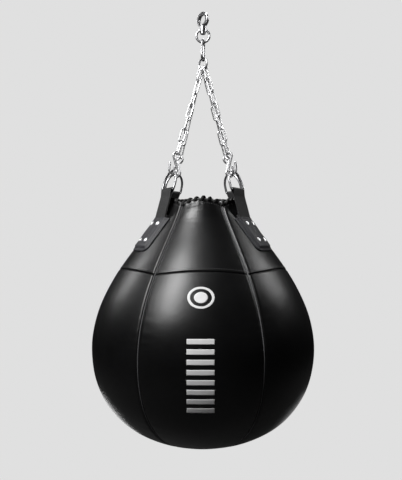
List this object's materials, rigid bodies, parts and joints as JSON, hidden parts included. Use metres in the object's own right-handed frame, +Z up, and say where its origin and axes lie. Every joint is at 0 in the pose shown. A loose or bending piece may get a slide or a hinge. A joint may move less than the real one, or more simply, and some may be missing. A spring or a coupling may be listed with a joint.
{
  "type": "heavy punching bag",
  "caption": "Teardrop leather punching bag with a laced top, hung on webbing straps, D-rings, S-hooks and a four-leg chain from a swivel eye.",
  "frame": {"origin": "centre of the swivel eye's bore, where the hanger goes through", "axes": "+Z up along the hanging line; the bag's front faces -Y; +X to the right seen from the front"},
  "size_m": [0.4572, 0.4548, 0.8915],
  "materials": {
    "swivel_steel": "plated, slightly worn",
    "chain_zinc": "bright zinc plate",
    "hook_zinc": "zinc plate, dull",
    "ring_steel": "dark nickel plate",
    "webbing": "woven polyester",
    "leather": "semi-gloss, fine grain",
    "patch_leather": "semi-gloss, stitched",
    "rivet_steel": "polished",
    "welt_leather": "rolled edge, worn grey",
    "lining": "canvas",
    "core_sack": "woven sack",
    "textile_fill": "shredded textile",
    "binding_leather": "folded edge",
    "eyelet_steel": "nickel plate",
    "lace_cord": "flat braid, waxed"
  },
  "bodies": {
    "hanger": {"swivel_eye": "swivel_steel", "swivel_pin_head": "swivel_steel", "swivel_washer": "swivel_steel"},
    "bow": {"swivel_bow": "swivel_steel"},
    "connector": {"connector_link": "swivel_steel"},
    "ring": {"gather_ring": "swivel_steel"},
    "bag": {"chain_rear_left": "chain_zinc", "s_hook_rear_left": "hook_zinc", "strap_rear_left": "webbing", "patch_rear_left": "patch_leather", "rivets_rear_left": "rivet_steel", "chain_front_left": "chain_zinc", "s_hook_front_left": "hook_zinc", "strap_front_left": "webbing", "patch_front_left": "patch_leather", "rivets_front_left": "rivet_steel", "chain_rear_right": "chain_zinc", "s_hook_rear_right": "hook_zinc", "strap_rear_right": "webbing", "patch_rear_right": "patch_leather", "rivets_rear_right": "rivet_steel", "chain_front_right": "chain_zinc", "s_hook_front_right": "hook_zinc", "strap_front_right": "webbing", "patch_front_right": "patch_leather", "rivets_front_right": "rivet_steel", "upper_panel_1": "leather", "lower_panel_1": "leather", "upper_panel_2": "leather", "lower_panel_2": "leather", "upper_panel_3": "leather", "lower_panel_3": "leather", "upper_panel_4": "leather", "lower_panel_4": "leather", "upper_panel_5": "leather", "lower_panel_5": "leather", "upper_panel_6": "leather", "lower_panel_6": "leather", "rivet_washers": "rivet_steel", "seam_welts": "welt_leather", "bottom_cap": "leather", "liner": "lining", "core": "core_sack", "fill": "textile_fill", "rim_binding": "binding_leather", "top_flange": "patch_leather", "lid": "patch_leather", "eyelets": "eyelet_steel", "lace": "lace_cord"},
    "d_ring_body_rear_left": {"d_ring_rear_left": "ring_steel"},
    "d_ring_body_front_left": {"d_ring_front_left": "ring_steel"},
    "d_ring_body_rear_right": {"d_ring_rear_right": "ring_steel"},
    "d_ring_body_front_right": {"d_ring_front_right": "ring_steel"}
  },
  "joints": [
    {"name": "swivel_spin", "type": "hinge", "parent": "hanger", "child": "bow", "pos_m": [0, 0, -0.0223], "axis": [0, 0, 1], "continuous": true},
    {"name": "connector_swing", "type": "hinge", "parent": "bow", "child": "connector", "pos_m": [0, 0, -0.0468], "axis": [1, 0, 0], "range_deg": [-45, 45]},
    {"name": "ring_swing", "type": "hinge", "parent": "connector", "child": "ring", "pos_m": [0, 0, -0.0842], "axis": [0.2079, 0.9781, 0], "range_deg": [-35, 35]},
    {"name": "bag_swing", "type": "hinge", "parent": "ring", "child": "bag", "pos_m": [0, 0, -0.1029], "axis": [0.6428, -0.766, 0], "range_deg": [-16, 16]},
    {"name": "d_ring_rock_rear_left", "type": "hinge", "parent": "bag", "child": "d_ring_body_rear_left", "pos_m": [-0.06632, 0.04473, -0.356], "axis": [-0.5592, -0.829, 0], "range_deg": [-3, 3]},
    {"name": "d_ring_rock_front_left", "type": "hinge", "parent": "bag", "child": "d_ring_body_front_left", "pos_m": [-0.07064, -0.03756, -0.356], "axis": [0.4695, -0.8829, 0], "range_deg": [-3, 3]},
    {"name": "d_ring_rock_rear_right", "type": "hinge", "parent": "bag", "child": "d_ring_body_rear_right", "pos_m": [0.06632, 0.04473, -0.356], "axis": [-0.5592, 0.829, 0], "range_deg": [-3, 3]},
    {"name": "d_ring_rock_front_right", "type": "hinge", "parent": "bag", "child": "d_ring_body_front_right", "pos_m": [0.07064, -0.03756, -0.356], "axis": [0.4695, 0.8829, 0], "range_deg": [-3, 3]}
  ]
}
